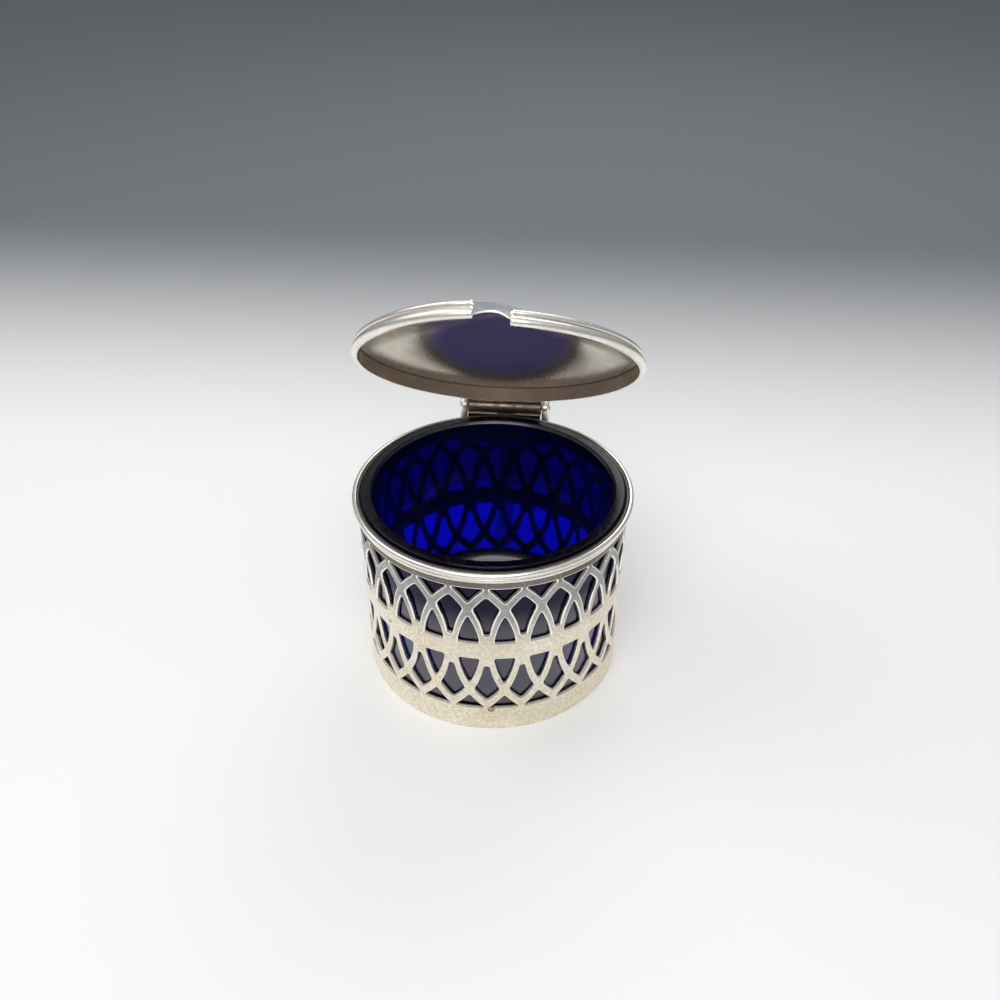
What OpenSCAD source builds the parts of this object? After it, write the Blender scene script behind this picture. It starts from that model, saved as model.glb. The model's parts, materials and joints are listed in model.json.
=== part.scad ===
// Drum mustard pot: a pierced silver drum with a blue glass liner, a hinged domed lid and a loop handle.
// Millimetres. Origin at the middle of the flat base, +Z up, handle and hinge at +Y, spoon notch at -Y.

/* [Drum] */
// Outer radius of the drum at its foot
foot_r = 28.1; // [24:0.1:34]
// How much wider the drum is at its mouth than at its foot, on the radius
flare = 0.9; // [0:0.1:2]
// Thickness of the drum's sheet
wall_t = 0.8; // [0.5:0.1:1.2]
// Height of the plain band at the foot
foot_h = 6.3; // [5:0.1:9]
// Height of the lower pierced register
lower_h = 14.3; // [12:0.1:17]
// Height of the plain band between the registers
band_h = 4.4; // [3:0.1:7]
// Height of the upper pierced register
upper_h = 14.5; // [12:0.1:17]
// Height of the plain strip above the upper register
strip_h = 1.8; // [1.4:0.1:4]
// Thickness of the base plate
base_t = 1; // [0.6:0.1:2]
// Small bevel round the foot's lower edge
foot_bevel = 0.25; // [0.1:0.05:0.4]

/* [Piercing] */
// Number of interlaced arches in each register
arches = 24; // [20:1:28]
// Turn of the first arch from the front, in degrees
pattern_turn = 2.3; // [-7.5:0.1:7.5]
// Radius of the arches' curved sides
arch_curve = 20; // [17:0.5:30]
// Width of a lancet opening on the springing line
lancet_w = 4.4; // [3.4:0.1:4.8]
// Width of an arch's limb on the springing line
limb_w = 1.15; // [0.9:0.05:1.4]
// Height of the metal between an arch's peak and the opening under it
crown_h = 2.2; // [1.6:0.1:3]
// Height of the kites' blunt tips above the springing line
tip_h = 2.1; // [1.4:0.1:3]
// How far the openings' pointed tops are blunted
peak_blunt = 0.3; // [0.1:0.05:0.6]
// Width of the neck that joins each peak to the plain metal beyond it
neck_w = 0.9; // [0.6:0.1:1.4]

/* [Rim] */
// Diameter of the large bead at the mouth
bead_d = 1.4; // [1:0.1:2]
// How far the bead stands out from the drum
bead_out = 1; // [0.7:0.1:1.4]
// Diameter of the thin reed under the bead
reed_d = 1.2; // [0.8:0.1:1.6]
// How far the reed stands out from the drum
reed_out = 0.55; // [0.3:0.05:0.8]
// Depth of the strip of metal behind the bead and the reed
rim_web = 0.3; // [0.2:0.05:0.5]
// How far the drum's own edge lies below the top of the bead
lip_drop = 0.15; // [0.1:0.05:0.4]

/* [Liner] */
// Play between the glass and the drum
liner_gap = 0.1; // [0.05:0.05:0.5]
// Width of the glass rim's ground top
liner_rim = 2; // [1.5:0.1:3]
// How far the glass stands above the bead
liner_proud = 0.6; // [0.3:0.1:1]
// Thickness of the glass wall below the rim
liner_t = 2.5; // [2:0.1:4]
// Thickness of the glass floor
liner_floor = 3.4; // [2:0.1:6]
// Radius of the curve between the glass wall and floor
liner_fillet = 5; // [3:0.5:8]
// Bevel round the bottom of the glass
liner_bevel = 1.2; // [0.5:0.1:2]

/* [Lid] */
// Angle of the lid from closed, in degrees
lid_open = 44; // [0:1:100]
// Gap between the closed lid and the bead
lid_gap = 0.6; // [0.2:0.05:1]
// Height of the lid ring's large bead
lid_bead_d = 2.1; // [1.6:0.1:2.6]
// Height of the lid ring's upper reed
lid_reed_d = 1.2; // [0.8:0.1:1.6]
// Depth of the lid ring, from its flat inner face to the bead's crest
lid_ring_t = 1.3; // [1.1:0.1:2]
// How much the upper reed lies inside the bead's crest
lid_reed_in = 0.45; // [0.2:0.05:0.8]
// Depth of the web behind the lid ring's bead and reed
lid_web = 0.6; // [0.4:0.05:0.8]
// Depth of the dome's edge below the top of the lid ring
dome_inset = 0.4; // [0.2:0.1:1.2]
// Rise of the dome above its edge
dome_rise = 9; // [5:0.5:14]
// Thickness of the dome's sheet
dome_t = 0.6; // [0.4:0.1:1]
// Width of the spoon notch
notch_w = 6.8; // [5:0.1:10]
// How far the notch's arc reaches into the dome
notch_depth = 1; // [0.5:0.1:3]
// Turn of the notch from the front, in degrees
notch_turn = 1.5; // [-5:0.1:5]

/* [Hinge] */
// Distance of the hinge axis behind the bead's crest
hinge_back = 3; // [2.6:0.1:3.8]
// Height of the hinge axis above the top of the bead
hinge_up = 0.5; // [0:0.05:0.8]
// Outer diameter of the knuckles
knuckle_d = 4; // [3.2:0.1:4.2]
// Length of the lid's middle knuckle
lid_knuckle_l = 17.2; // [12:0.1:20]
// Length of each body knuckle
body_knuckle_l = 1.75; // [0.8:0.05:3]
// Gap between neighbouring knuckles
knuckle_gap = 0.2; // [0.1:0.05:0.4]
// Diameter of the hinge pin
pin_d = 1.2; // [0.8:0.1:1.6]
// Radial play between the pin and a knuckle
pin_play = 0.05; // [0.02:0.01:0.1]
// How far each end of the pin stands out
pin_proud = 0.15; // [0.05:0.05:0.4]
// Height of the leaf that joins the lid's knuckle to the lid
leaf_t = 1.5; // [1:0.1:2]
// Height of the hinge seat on the back of the drum
seat_h = 3.6; // [3:0.1:6]
// Depth of the hinge seat, out from the drum's back
seat_t = 1.6; // [1.2:0.1:2.2]

/* [Handle] */
// Width of the handle's half-round strap
strap_w = 5; // [3.5:0.1:7]
// Thickness of the strap at its middle
strap_t = 2; // [1.5:0.1:2.5]
// Radius of the handle's loop, along the strap's flat face
loop_r = 15; // [12:0.5:16]
// Height at which the lower leg of the handle meets the foot band
leg_h = 4; // [3.5:0.1:5]

/* [Thumbpiece] */
// Width of the thumbpiece at its top
thumb_w = 11; // [8:0.5:14]
// Width of the thumbpiece at its root
thumb_root = 6; // [4:0.5:7]
// Height of the thumbpiece
thumb_h = 7.5; // [5:0.5:9]
// Radius of the thumbpiece's rounded top
thumb_crown = 6.6; // [6:0.2:9]
// Thickness of the thumbpiece
thumb_t = 1.5; // [1:0.1:2]
// Backward lean of the thumbpiece, in degrees
thumb_lean = 14; // [5:1:25]

/* [Hidden] */
$fn = 96;

silver = "#d8d3c8";
pale_silver = "#e6e2d8";
steel = "#b9b9b4";
cobalt = "#101a8c";

solder_gap = 0.03;
past = 1;
fillet_steps = 10;

// heights up the drum
band_z = foot_h + lower_h;
upper_z = band_z + band_h;
strip_z = upper_z + upper_h;
reed_z = strip_z + strip_h;
bead_z = reed_z + reed_d;
rim_top = bead_z + bead_d;
wall_top = rim_top - lip_drop;
liner_top = rim_top + liner_proud;

// radii
function drum_r(z) = foot_r + flare * z / rim_top;
mouth_r = drum_r(rim_top);
rim_r = mouth_r + bead_out;
liner_r = mouth_r - wall_t - liner_gap;
liner_foot_r = drum_r(base_t) - wall_t - liner_gap;

// lid and hinge
lid_z = rim_top + lid_gap;
lid_ring_r = rim_r - lid_ring_t;
lid_ring_h = lid_bead_d + lid_reed_d;
dome_z = lid_z + lid_ring_h - dome_inset;
dome_top = dome_z + dome_rise;
dome_edge = lid_ring_r - solder_gap;
dome_r = (pow(dome_edge, 2) + pow(dome_rise, 2)) / (2 * dome_rise);
hinge_y = rim_r + hinge_back;
hinge_z = rim_top + hinge_up;
ear_x = lid_knuckle_l / 2 + knuckle_gap;
hinge_half = ear_x + body_knuckle_l;
seat_top = reed_z - solder_gap;
seat_y = drum_r(seat_top) + seat_t;

// one pierced register, drawn flat: u across, v up from the arches' springing line
function pitch(r) = 2 * PI * r / arches;

// centre of the arc that rises from a foot on the springing line to a top, for a right limb
function arc_centre(foot, top) = let (chord = top - [foot, 0], half = norm(chord) / 2)
    [foot, 0] + chord / 2 + sqrt(pow(arch_curve, 2) - pow(half, 2)) * [-chord[1], chord[0]] / norm(chord);

// a limb's inner and outer edges, measured from the arch's axis
function inner_foot(r) = (pitch(r) + lancet_w) / 2;
function inner_arc(r, h) = arc_centre(inner_foot(r), [0, h - crown_h]);
function outer_arc(r, h) = arc_centre(inner_foot(r) + limb_w, [neck_w / 2, h]);

// disc whose edge is one edge of a limb; way is 1 for an arch's right limb and -1 for its left
module limb_disc(axis, way, centre) {
    translate([axis + way * centre[0], centre[1]])
        circle(r = arch_curve);
}

// pointed shape between the inner edges of two limbs whose arches stand apart, with a blunted top
module pointed(apart, centre, low) {
    peak = centre[1] + sqrt(pow(arch_curve, 2) - pow(apart / 2 - centre[0], 2));
    intersection() {
        limb_disc(-apart / 2, 1, centre);
        limb_disc(apart / 2, -1, centre);
        circle(r = peak - peak_blunt);
        translate([-arch_curve, low])
            square([2 * arch_curve, peak]);
    }
}

// opening under an arch's peak, on the arch's axis, down to a blunt tip
module kite(r, h) {
    difference() {
        pointed(0, inner_arc(r, h), tip_h);
        limb_disc(pitch(r), -1, outer_arc(r, h));
        limb_disc(-pitch(r), 1, outer_arc(r, h));
    }
}

// opening at the springing line, half way between two arches
module lancet(r, h) {
    pointed(pitch(r), inner_arc(r, h), 0);
}

// opening between two peaks, half way between two arches
module spandrel(r, h) {
    difference() {
        translate([-pitch(r) / 2, 0])
            square([pitch(r), h]);
        limb_disc(-pitch(r) / 2, 1, outer_arc(r, h));
        limb_disc(pitch(r) / 2, -1, outer_arc(r, h));
    }
}

// cuts a flat shape through the drum at an angle from the front, springing from height z
module pierce(angle, z, r, up) {
    rotate([0, 0, angle])
        translate([0, -(r - wall_t - flare - past), z])
            rotate([90, 0, 0])
                linear_extrude(height = wall_t + 2 * flare + 2 * past)
                    mirror([0, up ? 0 : 1])
                        children();
}

module register(z, h, up) {
    r = drum_r(z + (up ? h : -h) / 2);
    step = 360 / arches;
    for (i = [0 : arches - 1]) {
        pierce(pattern_turn + i * step, z, r, up) kite(r, h);
        pierce(pattern_turn + (i + 0.5) * step, z, r, up) lancet(r, h);
        pierce(pattern_turn + (i + 0.5) * step, z, r, up) spandrel(r, h);
    }
}

// solid of revolution filled to the drum's outer face plus a gap, for seating pieces on it
module drum_core(gap) {
    rotate_extrude()
        polygon([[0, -past], [drum_r(-past) + gap, -past],
            [drum_r(rim_top + past) + gap, rim_top + past], [0, rim_top + past]]);
}

module drum_wall() {
    color(silver)
        difference() {
            rotate_extrude()
                polygon([[drum_r(0) - wall_t, 0], [drum_r(0) - foot_bevel, 0], [drum_r(foot_bevel), foot_bevel],
                    [drum_r(wall_top), wall_top], [drum_r(wall_top) - wall_t, wall_top]]);
            register(upper_z, upper_h, true);
            register(band_z, lower_h, false);
        }
}

module base_plate() {
    color(silver)
        rotate_extrude()
            polygon([[0, 0], [drum_r(0) - wall_t - solder_gap, 0],
                [drum_r(base_t) - wall_t - solder_gap, base_t], [0, base_t]]);
}

// bead and reed of the mouth, on one strip soldered round the drum
module rim_moulding() {
    color(pale_silver)
        rotate_extrude()
            difference() {
                union() {
                    translate([rim_r - bead_d / 2, bead_z + bead_d / 2])
                        circle(d = bead_d);
                    translate([drum_r(reed_z) + reed_out - reed_d / 2, reed_z + reed_d / 2])
                        circle(d = reed_d);
                    translate([drum_r(reed_z) - wall_t, reed_z + reed_d / 2])
                        square([wall_t + rim_web, (reed_d + bead_d) / 2]);
                }
                polygon([[0, 0], [drum_r(0) + solder_gap, 0],
                    [drum_r(rim_top + past) + solder_gap, rim_top + past], [0, rim_top + past]]);
            }
}

// tapered cup with a thick floor and a flat ground rim
module glass_liner() {
    inner_top = liner_r - liner_t;
    inner_foot = liner_foot_r - liner_t;
    floor_z = base_t + liner_floor;
    lean = atan2(inner_top - inner_foot, liner_top - floor_z);
    fillet_at = [inner_foot - liner_fillet * (1 - sin(lean)) / cos(lean), floor_z + liner_fillet];
    fillet = [for (i = [0 : fillet_steps]) let (a = -lean - (90 - lean) * i / fillet_steps)
        fillet_at + liner_fillet * [cos(a), sin(a)]];
    lip = liner_t - liner_rim;
    color(cobalt, 0.85)
        rotate_extrude()
            polygon(concat(
                [[0, base_t + solder_gap], [liner_foot_r - liner_bevel, base_t + solder_gap],
                    [liner_foot_r, base_t + liner_bevel], [liner_r, liner_top],
                    [inner_top + lip, liner_top], [inner_top, liner_top - lip]],
                fillet,
                [[0, floor_z]]));
}

// half-round section of the handle: flat face on the line x = 0, crown towards +X
module strap_section() {
    crown = (pow(strap_w / 2, 2) + pow(strap_t, 2)) / (2 * strap_t);
    intersection() {
        translate([strap_t - crown, 0])
            circle(r = crown);
        translate([0, -strap_w / 2])
            square([strap_t, strap_w]);
    }
}

// loop handle: a round bow from the hinge seat and a straight leg down to the foot band
module handle() {
    bow_y = seat_y + solder_gap;
    bow_z = seat_top - (seat_h + strap_t) / 2 - loop_r;
    drop = bow_z - leg_h;
    reach = bow_y - drum_r(leg_h);
    foot_away = norm([drop, reach]);
    turn = atan2(drop, reach) - 180 + acos(loop_r / foot_away);
    leg = sqrt(pow(foot_away, 2) - pow(loop_r, 2)) + strap_w;
    color(silver)
        difference() {
            translate([0, bow_y, bow_z])
                rotate([90, 0, 90])
                    rotate([0, 0, turn])
                        union() {
                            rotate_extrude(angle = 90 - turn)
                                translate([loop_r, 0])
                                    strap_section();
                            rotate([90, 0, 0])
                                linear_extrude(height = leg)
                                    translate([loop_r, 0])
                                        strap_section();
                        }
            drum_core(solder_gap);
        }
}

// block soldered to the drum's back, under the rim, that carries the body knuckles and the handle
module hinge_seat() {
    color(silver)
        difference() {
            translate([-hinge_half, 0, seat_top - seat_h])
                cube([2 * hinge_half, seat_y, seat_h]);
            drum_core(solder_gap);
        }
}

module knuckle_tube(x, length, play) {
    translate([x, hinge_y, hinge_z])
        rotate([0, 90, 0])
            difference() {
                cylinder(d = knuckle_d, h = length);
                translate([0, 0, -past])
                    cylinder(d = pin_d + 2 * play, h = length + 2 * past);
            }
}

// a short tube on an arm that stands on the hinge seat
module body_knuckle(x) {
    arm_y = seat_y + solder_gap;
    color(pale_silver)
        difference() {
            union() {
                translate([x, hinge_y, hinge_z])
                    rotate([0, 90, 0])
                        cylinder(d = knuckle_d, h = body_knuckle_l);
                translate([x, 0, 0])
                    rotate([90, 0, 90])
                        linear_extrude(height = body_knuckle_l)
                            polygon([[arm_y, seat_top - seat_h], [hinge_y + knuckle_d / 2, hinge_z],
                                [hinge_y - knuckle_d / 2, hinge_z], [arm_y, seat_top]]);
            }
            translate([x - past, hinge_y, hinge_z])
                rotate([0, 90, 0])
                    cylinder(d = pin_d, h = body_knuckle_l + 2 * past);
        }
}

module body_knuckle_left() {
    body_knuckle(-hinge_half);
}

module body_knuckle_right() {
    body_knuckle(ear_x);
}

module hinge_pin() {
    color(steel)
        translate([-hinge_half - pin_proud, hinge_y, hinge_z])
            rotate([0, 90, 0])
                cylinder(d = pin_d, h = 2 * (hinge_half + pin_proud));
}

// turns a piece of the lid from its closed place to where it stands open
module opened() {
    translate([0, hinge_y, hinge_z])
        rotate([-lid_open, 0, 0])
            translate([0, -hinge_y, -hinge_z])
                children();
}

// the notch for the spoon, cut through the front of the lid: straight sides and an arc across its end
module spoon_notch() {
    arc = (pow(notch_w / 2, 2) + pow(notch_depth, 2)) / (2 * notch_depth);
    rotate([0, 0, notch_turn])
        translate([0, notch_depth - lid_ring_r, lid_z - past])
            intersection() {
                translate([0, -arc, 0])
                    cylinder(r = arc, h = dome_top - lid_z + past);
                translate([-notch_w / 2, -2 * arc, 0])
                    cube([notch_w, 2 * arc, dome_top - lid_z + past]);
            }
}

module lid_ring() {
    color(pale_silver)
        opened()
            difference() {
                rotate_extrude()
                    intersection() {
                        union() {
                            translate([rim_r - lid_bead_d / 2, lid_z + lid_bead_d / 2])
                                circle(d = lid_bead_d);
                            translate([rim_r - lid_reed_in - lid_reed_d / 2, lid_z + lid_bead_d + lid_reed_d / 2])
                                circle(d = lid_reed_d);
                            translate([lid_ring_r, lid_z + lid_bead_d / 2])
                                square([lid_web, lid_ring_h / 2]);
                        }
                        translate([lid_ring_r, lid_z])
                            square([lid_ring_t, lid_ring_h]);
                    }
                spoon_notch();
            }
}

// spherical dome of thin sheet, with its edge inside the ring
module lid_dome() {
    color(silver)
        opened()
            difference() {
                rotate_extrude()
                    intersection() {
                        translate([0, dome_top - dome_r])
                            difference() {
                                circle(r = dome_r);
                                circle(r = dome_r - dome_t);
                            }
                        translate([0, dome_z])
                            square([dome_edge + past, dome_rise + past]);
                    }
                spoon_notch();
            }
}

// flat leaf from the back of the lid ring to the lid's knuckle
module lid_leaf() {
    color(pale_silver)
        opened()
            translate([0, 0, lid_z + (lid_bead_d - leaf_t) / 2])
                difference() {
                    translate([-lid_knuckle_l / 2, 0, 0])
                        cube([lid_knuckle_l, hinge_y, leaf_t]);
                    translate([0, 0, -past])
                        cylinder(r = rim_r + solder_gap, h = leaf_t + 2 * past);
                    translate([-lid_knuckle_l, hinge_y, hinge_z - lid_z - (lid_bead_d - leaf_t) / 2])
                        rotate([0, 90, 0])
                            cylinder(d = knuckle_d + 2 * solder_gap, h = 2 * lid_knuckle_l);
                }
}

module lid_knuckle() {
    color(pale_silver)
        knuckle_tube(-lid_knuckle_l / 2, lid_knuckle_l, pin_play);
}

// plain fan for the thumb, standing on the leaf
module thumbpiece() {
    root_z = lid_z + (lid_bead_d + leaf_t) / 2 + solder_gap;
    color(silver)
        opened()
            translate([0, rim_r + solder_gap + thumb_t / 2 / cos(thumb_lean), root_z])
                difference() {
                    rotate([90 - thumb_lean, 0, 0])
                        translate([0, -thumb_t, -thumb_t / 2])
                            linear_extrude(height = thumb_t)
                                intersection() {
                                    polygon([[-thumb_root / 2, 0], [thumb_root / 2, 0],
                                        [thumb_w / 2, thumb_h + thumb_t], [-thumb_w / 2, thumb_h + thumb_t]]);
                                    translate([0, thumb_h + thumb_t - thumb_crown])
                                        circle(r = thumb_crown);
                                }
                    translate([-thumb_w, -thumb_w, -2 * thumb_t])
                        cube([2 * thumb_w, 2 * thumb_w, 2 * thumb_t]);
                }
}

drum_wall();
base_plate();
rim_moulding();
glass_liner();
handle();
hinge_seat();
body_knuckle_left();
body_knuckle_right();
hinge_pin();
lid_ring();
lid_dome();
lid_leaf();
lid_knuckle();
thumbpiece();
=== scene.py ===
# Drum mustard pot: a pierced silver drum, a blue glass liner and a hinged domed lid, dressed over its solids.
import json
import math

import bmesh
import bpy
from mathutils import Euler, Matrix, Vector, noise


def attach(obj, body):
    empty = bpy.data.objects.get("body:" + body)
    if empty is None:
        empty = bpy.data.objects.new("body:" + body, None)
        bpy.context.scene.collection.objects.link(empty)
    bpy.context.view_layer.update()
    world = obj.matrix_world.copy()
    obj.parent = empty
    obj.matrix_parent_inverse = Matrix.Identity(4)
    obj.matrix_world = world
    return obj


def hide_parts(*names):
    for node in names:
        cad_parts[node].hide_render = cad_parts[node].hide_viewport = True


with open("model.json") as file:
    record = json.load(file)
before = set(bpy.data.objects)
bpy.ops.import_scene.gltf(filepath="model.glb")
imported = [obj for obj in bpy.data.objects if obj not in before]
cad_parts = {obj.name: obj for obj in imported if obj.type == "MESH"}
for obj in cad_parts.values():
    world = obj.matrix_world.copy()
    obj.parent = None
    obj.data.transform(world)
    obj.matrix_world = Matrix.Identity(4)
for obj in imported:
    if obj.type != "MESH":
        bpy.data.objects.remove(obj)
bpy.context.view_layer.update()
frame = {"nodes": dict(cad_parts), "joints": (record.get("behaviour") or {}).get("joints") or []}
mm = 0.001  # pieces are drawn in millimetres and scaled once, when they are finished

lidHinge = frame["joints"][0]
hingePlace = Vector(lidHinge["pos_m"]) / mm
lidOpen = math.radians(-lidHinge["range_deg"][0])


# materials
def startMaterial(name):
    material = bpy.data.materials.new(name)
    material.use_nodes = True
    return material, material.node_tree, material.node_tree.nodes["Principled BSDF"]


def addNode(tree, kind, inputs=None, **settings):
    node = tree.nodes.new(kind)
    for key, value in settings.items():
        setattr(node, key, value)
    for key, value in (inputs or {}).items():
        node.inputs[key].default_value = value
    return node


def join(tree, source, socket):
    if isinstance(source, bpy.types.NodeSocket):
        tree.links.new(source, socket)
    else:
        socket.default_value = source


def mixColour(tree, factor, first, second):
    mix = addNode(tree, "ShaderNodeMix", data_type="RGBA", blend_type="MIX")
    for source, socket in ((factor, mix.inputs[0]), (first, mix.inputs[6]), (second, mix.inputs[7])):
        join(tree, source, socket)
    return mix.outputs[2]


def remap(tree, source, low, high, toLow=0.0, toHigh=1.0):
    limits = {"From Min": low, "From Max": high, "To Min": toLow, "To Max": toHigh}
    node = addNode(tree, "ShaderNodeMapRange", limits, interpolation_type="SMOOTHSTEP")
    join(tree, source, node.inputs["Value"])
    return node.outputs["Result"]


def combine(tree, kind, first, second):
    node = addNode(tree, "ShaderNodeMath", operation=kind)
    join(tree, first, node.inputs[0])
    join(tree, second, node.inputs[1])
    return node.outputs[0]


def objectCoords(tree, stretch=(1, 1, 1), shift=(0, 0, 0)):
    coords = addNode(tree, "ShaderNodeTexCoord")
    mapping = addNode(tree, "ShaderNodeMapping", {"Scale": stretch, "Location": shift})
    tree.links.new(coords.outputs["Object"], mapping.inputs["Vector"])
    return mapping.outputs["Vector"]


def grain(tree, scale, stretch=(1, 1, 1), detail=4.0, shift=(0, 0, 0)):
    node = addNode(tree, "ShaderNodeTexNoise", {"Scale": scale, "Detail": detail, "Roughness": 0.6})
    tree.links.new(objectCoords(tree, stretch, shift), node.inputs["Vector"])
    return node.outputs["Fac"]


def attribute(tree, name):
    return addNode(tree, "ShaderNodeAttribute", attribute_name=name).outputs["Fac"]


def addBump(tree, shader, height, strength, distance):
    bump = addNode(tree, "ShaderNodeBump", {"Strength": strength, "Distance": distance * mm})
    tree.links.new(height, bump.inputs["Height"])
    tree.links.new(bump.outputs["Normal"], shader.inputs["Normal"])


def objectPart(tree, part):
    parts = addNode(tree, "ShaderNodeSeparateXYZ")
    tree.links.new(objectCoords(tree), parts.inputs[0])
    return parts.outputs[part]


def shadeColour(tree, colour, value):
    toned = addNode(tree, "ShaderNodeHueSaturation")
    tree.links.new(colour, toned.inputs["Color"])
    tree.links.new(value, toned.inputs["Value"])
    return toned.outputs["Color"]


# where the noises and patches of all the silver start and end
silverWear = {
    "clouds": (0.34, 0.7), "speckles": (0.3, 0.72),
    "pitEdge": 1.8, "pitPatchScale": 70, "pitPatches": (0.56, 0.62),
    "mottleScale": 1600, "mottles": (0.3, 0.7), "mottle": 0.07, "border": (0.1, 0.6), "patch": (0.5, 0.95),
    "dulling": (0.1, 0.95), "rubbing": (0.4, 1.5), "dirtRoughness": 0.25, "reliefDepth": 0.05,
}


# old silver: clouds of tarnish, fine rubbing marks, dark pits, dirt in the grooves and bright worn edges; the
# grime mask also carries painted shade and the worn mask painted highlights, an upper part can be painted
# darker as painted shade, and a patch can be a painted reflection
def oldSilver(name, finish):
    wear = silverWear
    material, tree, shader = startMaterial(name)
    shader.inputs["Metallic"].default_value = finish["metallic"]
    clouds = remap(tree, grain(tree, finish["cloudScale"]), *wear["clouds"])
    colour = mixColour(tree, clouds, finish["bright"], finish["dull"])
    # painted shade: the upper part is painted darker and greyer, for the darker surroundings it reflects
    if "upper" in finish:
        low, high = finish["upperShadeFrom"]
        rise = remap(tree, objectPart(tree, "Z"), low * mm, high * mm)
        upper = mixColour(tree, clouds, finish["upper"], finish["upperShadeDull"])
        colour = mixColour(tree, rise, colour, upper)
    speckle = grain(tree, finish["speckleScale"], detail=2.0)
    colour = shadeColour(tree, colour, remap(tree, speckle, *wear["speckles"], 1.0 - finish["speckle"], 1.0))
    pits = addNode(tree, "ShaderNodeTexVoronoi", {"Scale": finish["pitScale"], "Randomness": 1.0})
    tree.links.new(objectCoords(tree), pits.inputs["Vector"])
    pitEdge = finish["pitSize"] * wear["pitEdge"]
    pitSpot = remap(tree, pits.outputs["Distance"], finish["pitSize"], pitEdge, 1.0, 0.0)
    pitPatch = remap(tree, grain(tree, wear["pitPatchScale"], shift=(3, 1, 7)), *wear["pitPatches"])
    pitSpot = combine(tree, "MULTIPLY", pitSpot, pitPatch)
    colour = mixColour(tree, pitSpot, colour, finish["pit"])
    if "linerReflection" in finish:  # a painted reflection of the blue liner, with a darker painted border
        speckled = grain(tree, wear["mottleScale"], detail=1.0)
        mottle = remap(tree, speckled, *wear["mottles"], -wear["mottle"], wear["mottle"])
        spread = combine(tree, "ADD", attribute(tree, "linerReflection"), mottle)
        colour = mixColour(tree, remap(tree, spread, *wear["border"]), colour, finish["reflectionBorder"])
        colour = mixColour(tree, remap(tree, spread, *wear["patch"]), colour, finish["linerReflection"])
        metal = remap(tree, spread, *wear["dulling"], finish["metallic"], finish["reflectionMetal"])
        tree.links.new(metal, shader.inputs["Metallic"])
    # grime darkens with dirt and with painted shade; worn edges brighten with wear and with painted
    # highlights
    grimeAndShade, wornAndHighlight = attribute(tree, "grimeAndShade"), attribute(tree, "wornAndHighlight")
    colour = mixColour(tree, grimeAndShade, colour, finish["dirtAndShade"])
    colour = mixColour(tree, wornAndHighlight, colour, finish["edge"])
    tree.links.new(colour, shader.inputs["Base Color"])
    rubbing = grain(tree, finish["rubScale"], finish["rubStretch"], detail=3.0)
    rough = remap(tree, combine(tree, "ADD", rubbing, clouds), *wear["rubbing"], *finish["roughness"])
    rough = combine(tree, "SUBTRACT", rough, combine(tree, "MULTIPLY", wornAndHighlight, finish["edgePolish"]))
    rough = combine(tree, "ADD", rough, combine(tree, "MULTIPLY", grimeAndShade, wear["dirtRoughness"]))
    tree.links.new(rough, shader.inputs["Roughness"])
    relief = combine(tree, "SUBTRACT", combine(tree, "ADD", rubbing, speckle), pitSpot)
    addBump(tree, shader, relief, finish["relief"], wear["reliefDepth"])
    return material


plainFinish = {
    "metallic": 1.0, "bright": (1.0, 0.93, 0.78, 1), "dull": (0.93, 0.84, 0.65, 1), "cloudScale": 110,
    "speckle": 0.24, "speckleScale": 1500, "pitScale": 160, "pitSize": 0.1, "pit": (0.34, 0.28, 0.21, 1),
    "dirtAndShade": (0.12, 0.085, 0.055, 1), "edge": (1.0, 0.98, 0.94, 1), "edgePolish": 0.12,
    "roughness": (0.26, 0.4), "rubScale": 240, "rubStretch": (1, 1, 9), "relief": 0.12,
}
# the upper register is painted greyer: painted shade
drumFinish = dict(
    plainFinish, upper=(0.47, 0.46, 0.44, 1), upperShadeDull=(0.37, 0.36, 0.34, 1), upperShadeFrom=(22, 34),
)
mouldingFinish = dict(
    plainFinish, bright=(0.98, 0.95, 0.88, 1), dull=(0.88, 0.83, 0.74, 1), roughness=(0.24, 0.36),
    speckle=0.1, relief=0.08, pitSize=0.05, rubStretch=(1, 1, 1),
)
bandFinish = dict(  # inside of the lid's ring, painted brown as a painted reflection of the warm-lit rim
    mouldingFinish, bright=(0.44, 0.33, 0.24, 1), dull=(0.34, 0.25, 0.18, 1), metallic=0.5,
)
domeFinish = dict(  # inside of the dome, with a violet painted reflection of the blue liner and a darker painted border
    plainFinish, bright=(1.0, 0.94, 0.81, 1), dull=(0.95, 0.87, 0.72, 1), roughness=(0.16, 0.24),
    speckle=0.12, relief=0.04, pitSize=0.05, rubStretch=(1, 1, 1), metallic=0.8,
    linerReflection=(0.15, 0.125, 0.29, 1), reflectionBorder=(0.22, 0.19, 0.14, 1), reflectionMetal=0.3,
)
shellFinish = dict(  # outside of the dome
    mouldingFinish, bright=(0.93, 0.94, 0.95, 1), dull=(0.82, 0.84, 0.86, 1), roughness=(0.3, 0.42),
    speckle=0.3,
)
# dark brown hinge: tarnish in the joints, darkened further as painted shade under the open lid
hingeFinish = dict(
    plainFinish, bright=(0.27, 0.21, 0.16, 1), dull=(0.14, 0.11, 0.085, 1), roughness=(0.24, 0.42),
    cloudScale=260, edge=(0.92, 0.88, 0.8, 1),
)
# unpolished silver out of sight, painted dark also as painted shade inside the pot
hiddenFinish = dict(
    plainFinish, bright=(0.2, 0.17, 0.14, 1), dull=(0.1, 0.085, 0.07, 1), roughness=(0.45, 0.6),
)
cutFinish = dict(  # saw cuts in the drum; greyer in the upper register as painted shade
    drumFinish, upper=(0.6, 0.57, 0.52, 1), upperShadeDull=(0.45, 0.42, 0.38, 1), roughness=(0.5, 0.65),
    metallic=0.4,
)
filedFinish = dict(  # edge of the notch
    plainFinish, bright=(1.0, 0.98, 0.95, 1), dull=(0.95, 0.93, 0.9, 1), roughness=(0.5, 0.65),
    metallic=0.4,
)
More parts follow.
